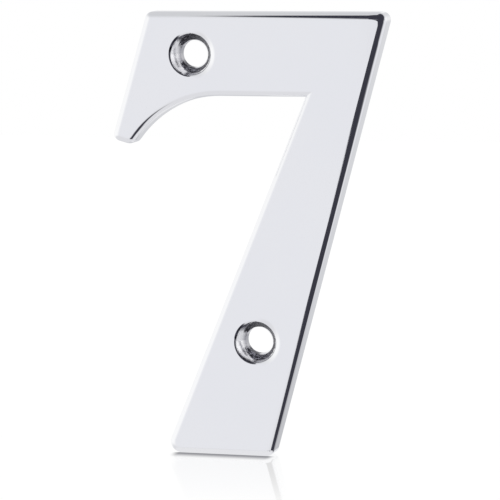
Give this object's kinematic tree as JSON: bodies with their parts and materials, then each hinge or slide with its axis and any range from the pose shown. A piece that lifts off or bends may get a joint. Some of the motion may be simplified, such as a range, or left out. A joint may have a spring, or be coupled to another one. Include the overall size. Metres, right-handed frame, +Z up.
{
  "type": "door numeral",
  "caption": "Flat cast numeral seven for a door, with a rolled front edge, a hooked bar end and countersunk screw holes through the face.",
  "frame": {"origin": "midway between the two screw holes, on the flat back face", "axes": "+X to the right seen from the front, +Y into the door from the back face, +Z up the standing numeral"},
  "size_m": [0.048, 0.004, 0.076],
  "materials": {
    "chrome_plate": "bright polished chrome plate on a zinc casting"
  },
  "bodies": {
    "root": {"numeral_seven": "chrome_plate"}
  },
  "joints": []
}
